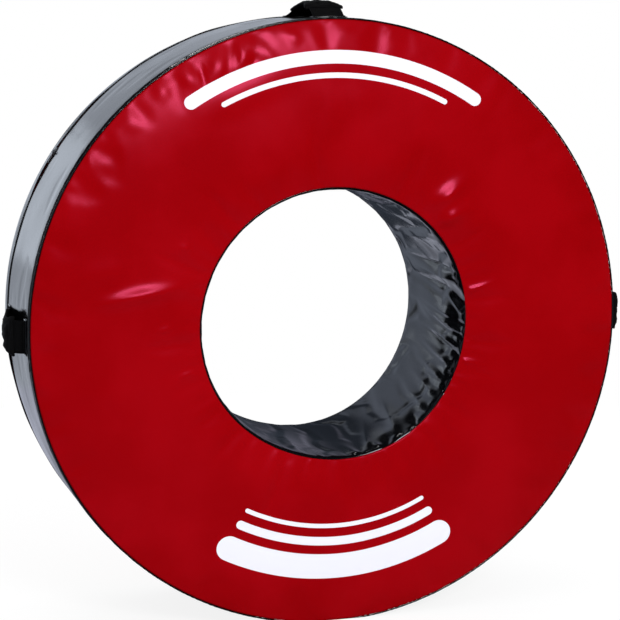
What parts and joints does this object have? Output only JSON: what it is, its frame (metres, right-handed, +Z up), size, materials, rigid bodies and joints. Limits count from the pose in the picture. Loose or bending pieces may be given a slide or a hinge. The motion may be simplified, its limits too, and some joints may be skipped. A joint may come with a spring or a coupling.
{
  "type": "tackle roller",
  "caption": "Large padded tackle ring in a zipped vinyl cover with webbing grab handles, rolled on its tread for contact training.",
  "frame": {"origin": "on the floor, in the middle of the patch that the ring stands on", "axes": "+Z up; +Y along the ring's axis, with the face that has the print towards -Y; +X across"},
  "size_m": [1.4794, 0.402, 1.4297],
  "materials": {
    "red_vinyl": "red PVC-coated fabric, satin, lightly wrinkled",
    "black_vinyl": "black PVC-coated fabric, glossy, lightly wrinkled",
    "black_piping": "black vinyl over a cord, satin",
    "black_nylon": "black nylon webbing and padded grips, matt weave",
    "zip_tape": "black woven tape with moulded teeth",
    "foam_core": "grey open-cell foam",
    "dark_metal": "black painted die-cast metal"
  },
  "bodies": {
    "root": {"foam_slab_front": "foam_core", "foam_slab_middle": "foam_core", "foam_slab_rear": "foam_core", "front_panel": "red_vinyl", "rear_panel": "red_vinyl", "tread_band": "black_vinyl", "rear_tread_band": "black_vinyl", "bore_sleeve": "black_vinyl", "front_piping": "black_piping", "rear_piping": "black_piping", "zip_front_tape": "zip_tape", "zip_rear_tape": "zip_tape", "zip_chain": "zip_tape", "zip_top_stop": "dark_metal", "zip_end_stop": "dark_metal", "closure_strip": "zip_tape", "left_strap": "black_nylon", "left_front_patch": "black_vinyl", "left_rear_patch": "black_vinyl", "top_strap": "black_nylon", "top_front_patch": "black_vinyl", "top_rear_patch": "black_vinyl", "right_strap": "black_nylon", "right_front_patch": "black_vinyl", "right_rear_patch": "black_vinyl", "bottom_strap": "black_nylon", "bottom_grip": "black_nylon", "bottom_front_patch": "black_vinyl", "bottom_rear_patch": "black_vinyl"},
    "left_handle": {"left_grip": "black_nylon"},
    "top_handle": {"top_grip": "black_nylon"},
    "right_handle": {"right_grip": "black_nylon"},
    "slider": {"zip_slider": "dark_metal"},
    "pull": {"zip_pull": "dark_metal"}
  },
  "joints": [
    {"name": "left_handle_flop", "type": "hinge", "parent": "root", "child": "left_handle", "pos_m": [-0.7, 0, 0.694], "axis": [0, 1, 0], "range_deg": [-18, 18], "stiffness_Nm_per_rad": 0.3, "deforming": ["left_strap"]},
    {"name": "top_handle_flop", "type": "hinge", "parent": "root", "child": "top_handle", "pos_m": [0, 0, 1.394], "axis": [0, 1, 0], "range_deg": [-18, 18], "stiffness_Nm_per_rad": 0.3, "deforming": ["top_strap"]},
    {"name": "right_handle_flop", "type": "hinge", "parent": "root", "child": "right_handle", "pos_m": [0.7, 0, 0.694], "axis": [0, 1, 0], "range_deg": [-18, 18], "stiffness_Nm_per_rad": 0.3, "deforming": ["right_strap"]},
    {"name": "zip_slide", "type": "hinge", "parent": "root", "child": "slider", "pos_m": [0, 0.117, 0.694], "axis": [0, 1, 0], "range_deg": [0, 180]},
    {"name": "zip_pull_swing", "type": "hinge", "parent": "slider", "child": "pull", "pos_m": [-0.58535, 0.117, 1.08512], "axis": [0, 1, 0], "range_deg": [0, 150]}
  ]
}
